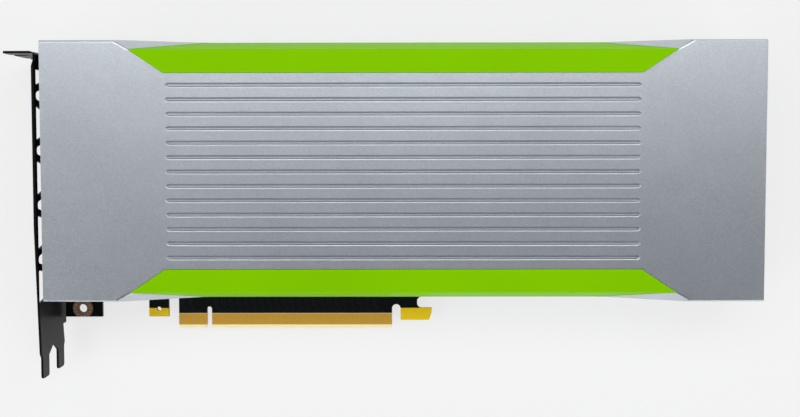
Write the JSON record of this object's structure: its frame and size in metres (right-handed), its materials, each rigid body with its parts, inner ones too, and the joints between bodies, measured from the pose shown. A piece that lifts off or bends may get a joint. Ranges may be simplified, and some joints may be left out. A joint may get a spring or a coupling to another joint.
{
  "type": "passive accelerator card",
  "caption": "Dual-slot server card with a faceted silver duct shroud, green side trims, vented black slot bracket, edge fingers and a finned cooler without a fan.",
  "frame": {"origin": "middle of the key notch at the edge of the fingers, on the board's component face", "axes": "+X along the card away from the slot bracket, +Y from the edge fingers up the card, +Z out of the component side; the card lies on its backplate"},
  "size_m": [0.2798, 0.1263, 0.0386],
  "materials": {
    "shroud_silver": "satin silver, fine grain",
    "trim_green": "bright green paint, satin",
    "bracket_black": "black powder coat",
    "screw_steel": "zinc plated",
    "screw_black": "black oxide",
    "board_black": "black solder mask, semi-gloss",
    "contact_gold": "gold plated",
    "pad_copper": "coated copper",
    "backplate_black": "black anodised, matt",
    "frame_black": "black cast, matt",
    "fin_aluminium": "bare mill finish",
    "chamber_copper": "nickelled copper",
    "spring_steel": "bare spring steel",
    "connector_black": "moulded nylon",
    "chip_black": "moulded package",
    "substrate_green": "package substrate",
    "die_grey": "polished silicon",
    "thermal_pad": "soft pad",
    "inductor_grey": "pressed powder",
    "capacitor_can": "aluminium can",
    "film_black": "insulation film"
  },
  "bodies": {
    "root": {"shroud": "shroud_silver", "upper_trim": "trim_green", "lower_trim": "trim_green", "shroud_screws": "screw_steel", "slot_bracket": "bracket_black", "bracket_screws": "screw_steel", "circuit_board": "board_black", "edge_contacts_front": "contact_gold", "edge_contacts_back": "contact_gold", "hook_plating": "contact_gold", "tab_plating": "contact_gold", "ground_pad": "pad_copper", "processor_substrate": "substrate_green", "processor_die": "die_grey", "thermal_paste": "thermal_pad", "memory_chips": "chip_black", "memory_pads": "thermal_pad", "vapor_chamber": "chamber_copper", "fin_stack": "fin_aluminium", "base_frame": "frame_black", "power_stages": "chip_black", "power_stage_pads": "thermal_pad", "inductors": "inductor_grey", "capacitors": "capacitor_can", "power_connector": "connector_black", "power_pins": "contact_gold", "backplate": "backplate_black", "insulation_film": "film_black", "backplate_screws": "screw_black", "retention_spring": "spring_steel", "spring_screws": "screw_steel"}
  },
  "joints": []
}
